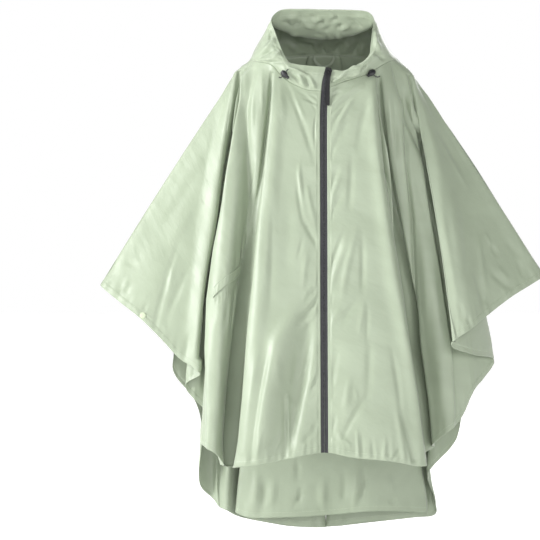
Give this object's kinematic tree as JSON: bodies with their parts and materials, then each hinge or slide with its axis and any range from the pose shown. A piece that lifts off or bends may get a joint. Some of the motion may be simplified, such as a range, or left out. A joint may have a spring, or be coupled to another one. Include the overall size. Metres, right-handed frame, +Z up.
{
  "type": "poncho",
  "caption": "Adult rain poncho in its worn form, with hood, full-length front zip, hood drawcord with cord locks, wide sleeves and an inverted back pleat.",
  "frame": {"origin": "middle of the neck opening at shoulder height, where the poncho is held", "axes": "+Z up, the front with the zip faces -Y, the wearer's right lies on -X"},
  "size_m": [1.0356, 0.4087, 1.2305],
  "materials": {
    "cloth": "sage green coated polyester taffeta, soft sheen",
    "black_nylon": "black woven nylon",
    "black_metal": "black lacquered metal",
    "black_plastic": "black moulded plastic",
    "green_plastic": "plastic coloured like the cloth"
  },
  "bodies": {
    "poncho": {"front_right_panel": "cloth", "back_right_panel": "cloth", "back_pleat_underlay": "cloth", "back_left_panel": "cloth", "front_left_panel": "cloth", "hood_right": "cloth", "hood_left": "cloth", "pocket_welt": "cloth", "hanger_loop": "cloth", "zip_tape_right": "black_nylon", "zip_tape_left": "black_nylon", "zip_slider": "black_metal", "hood_cord_right": "black_nylon", "hood_cord_left": "black_nylon", "cord_lock_right": "black_plastic", "cord_lock_left": "black_plastic", "cord_lock_button_right": "black_plastic", "cord_lock_button_left": "black_plastic", "snap_cap": "green_plastic", "snap_socket": "green_plastic"},
    "pull_tab": {"zip_pull": "black_metal"}
  },
  "joints": [
    {"name": "pull_tab_hinge", "type": "hinge", "parent": "poncho", "child": "pull_tab", "pos_m": [0.01, -0.1118, -0.033], "axis": [-0.9999, 0, 0.0122], "range_deg": [0, 150]}
  ]
}
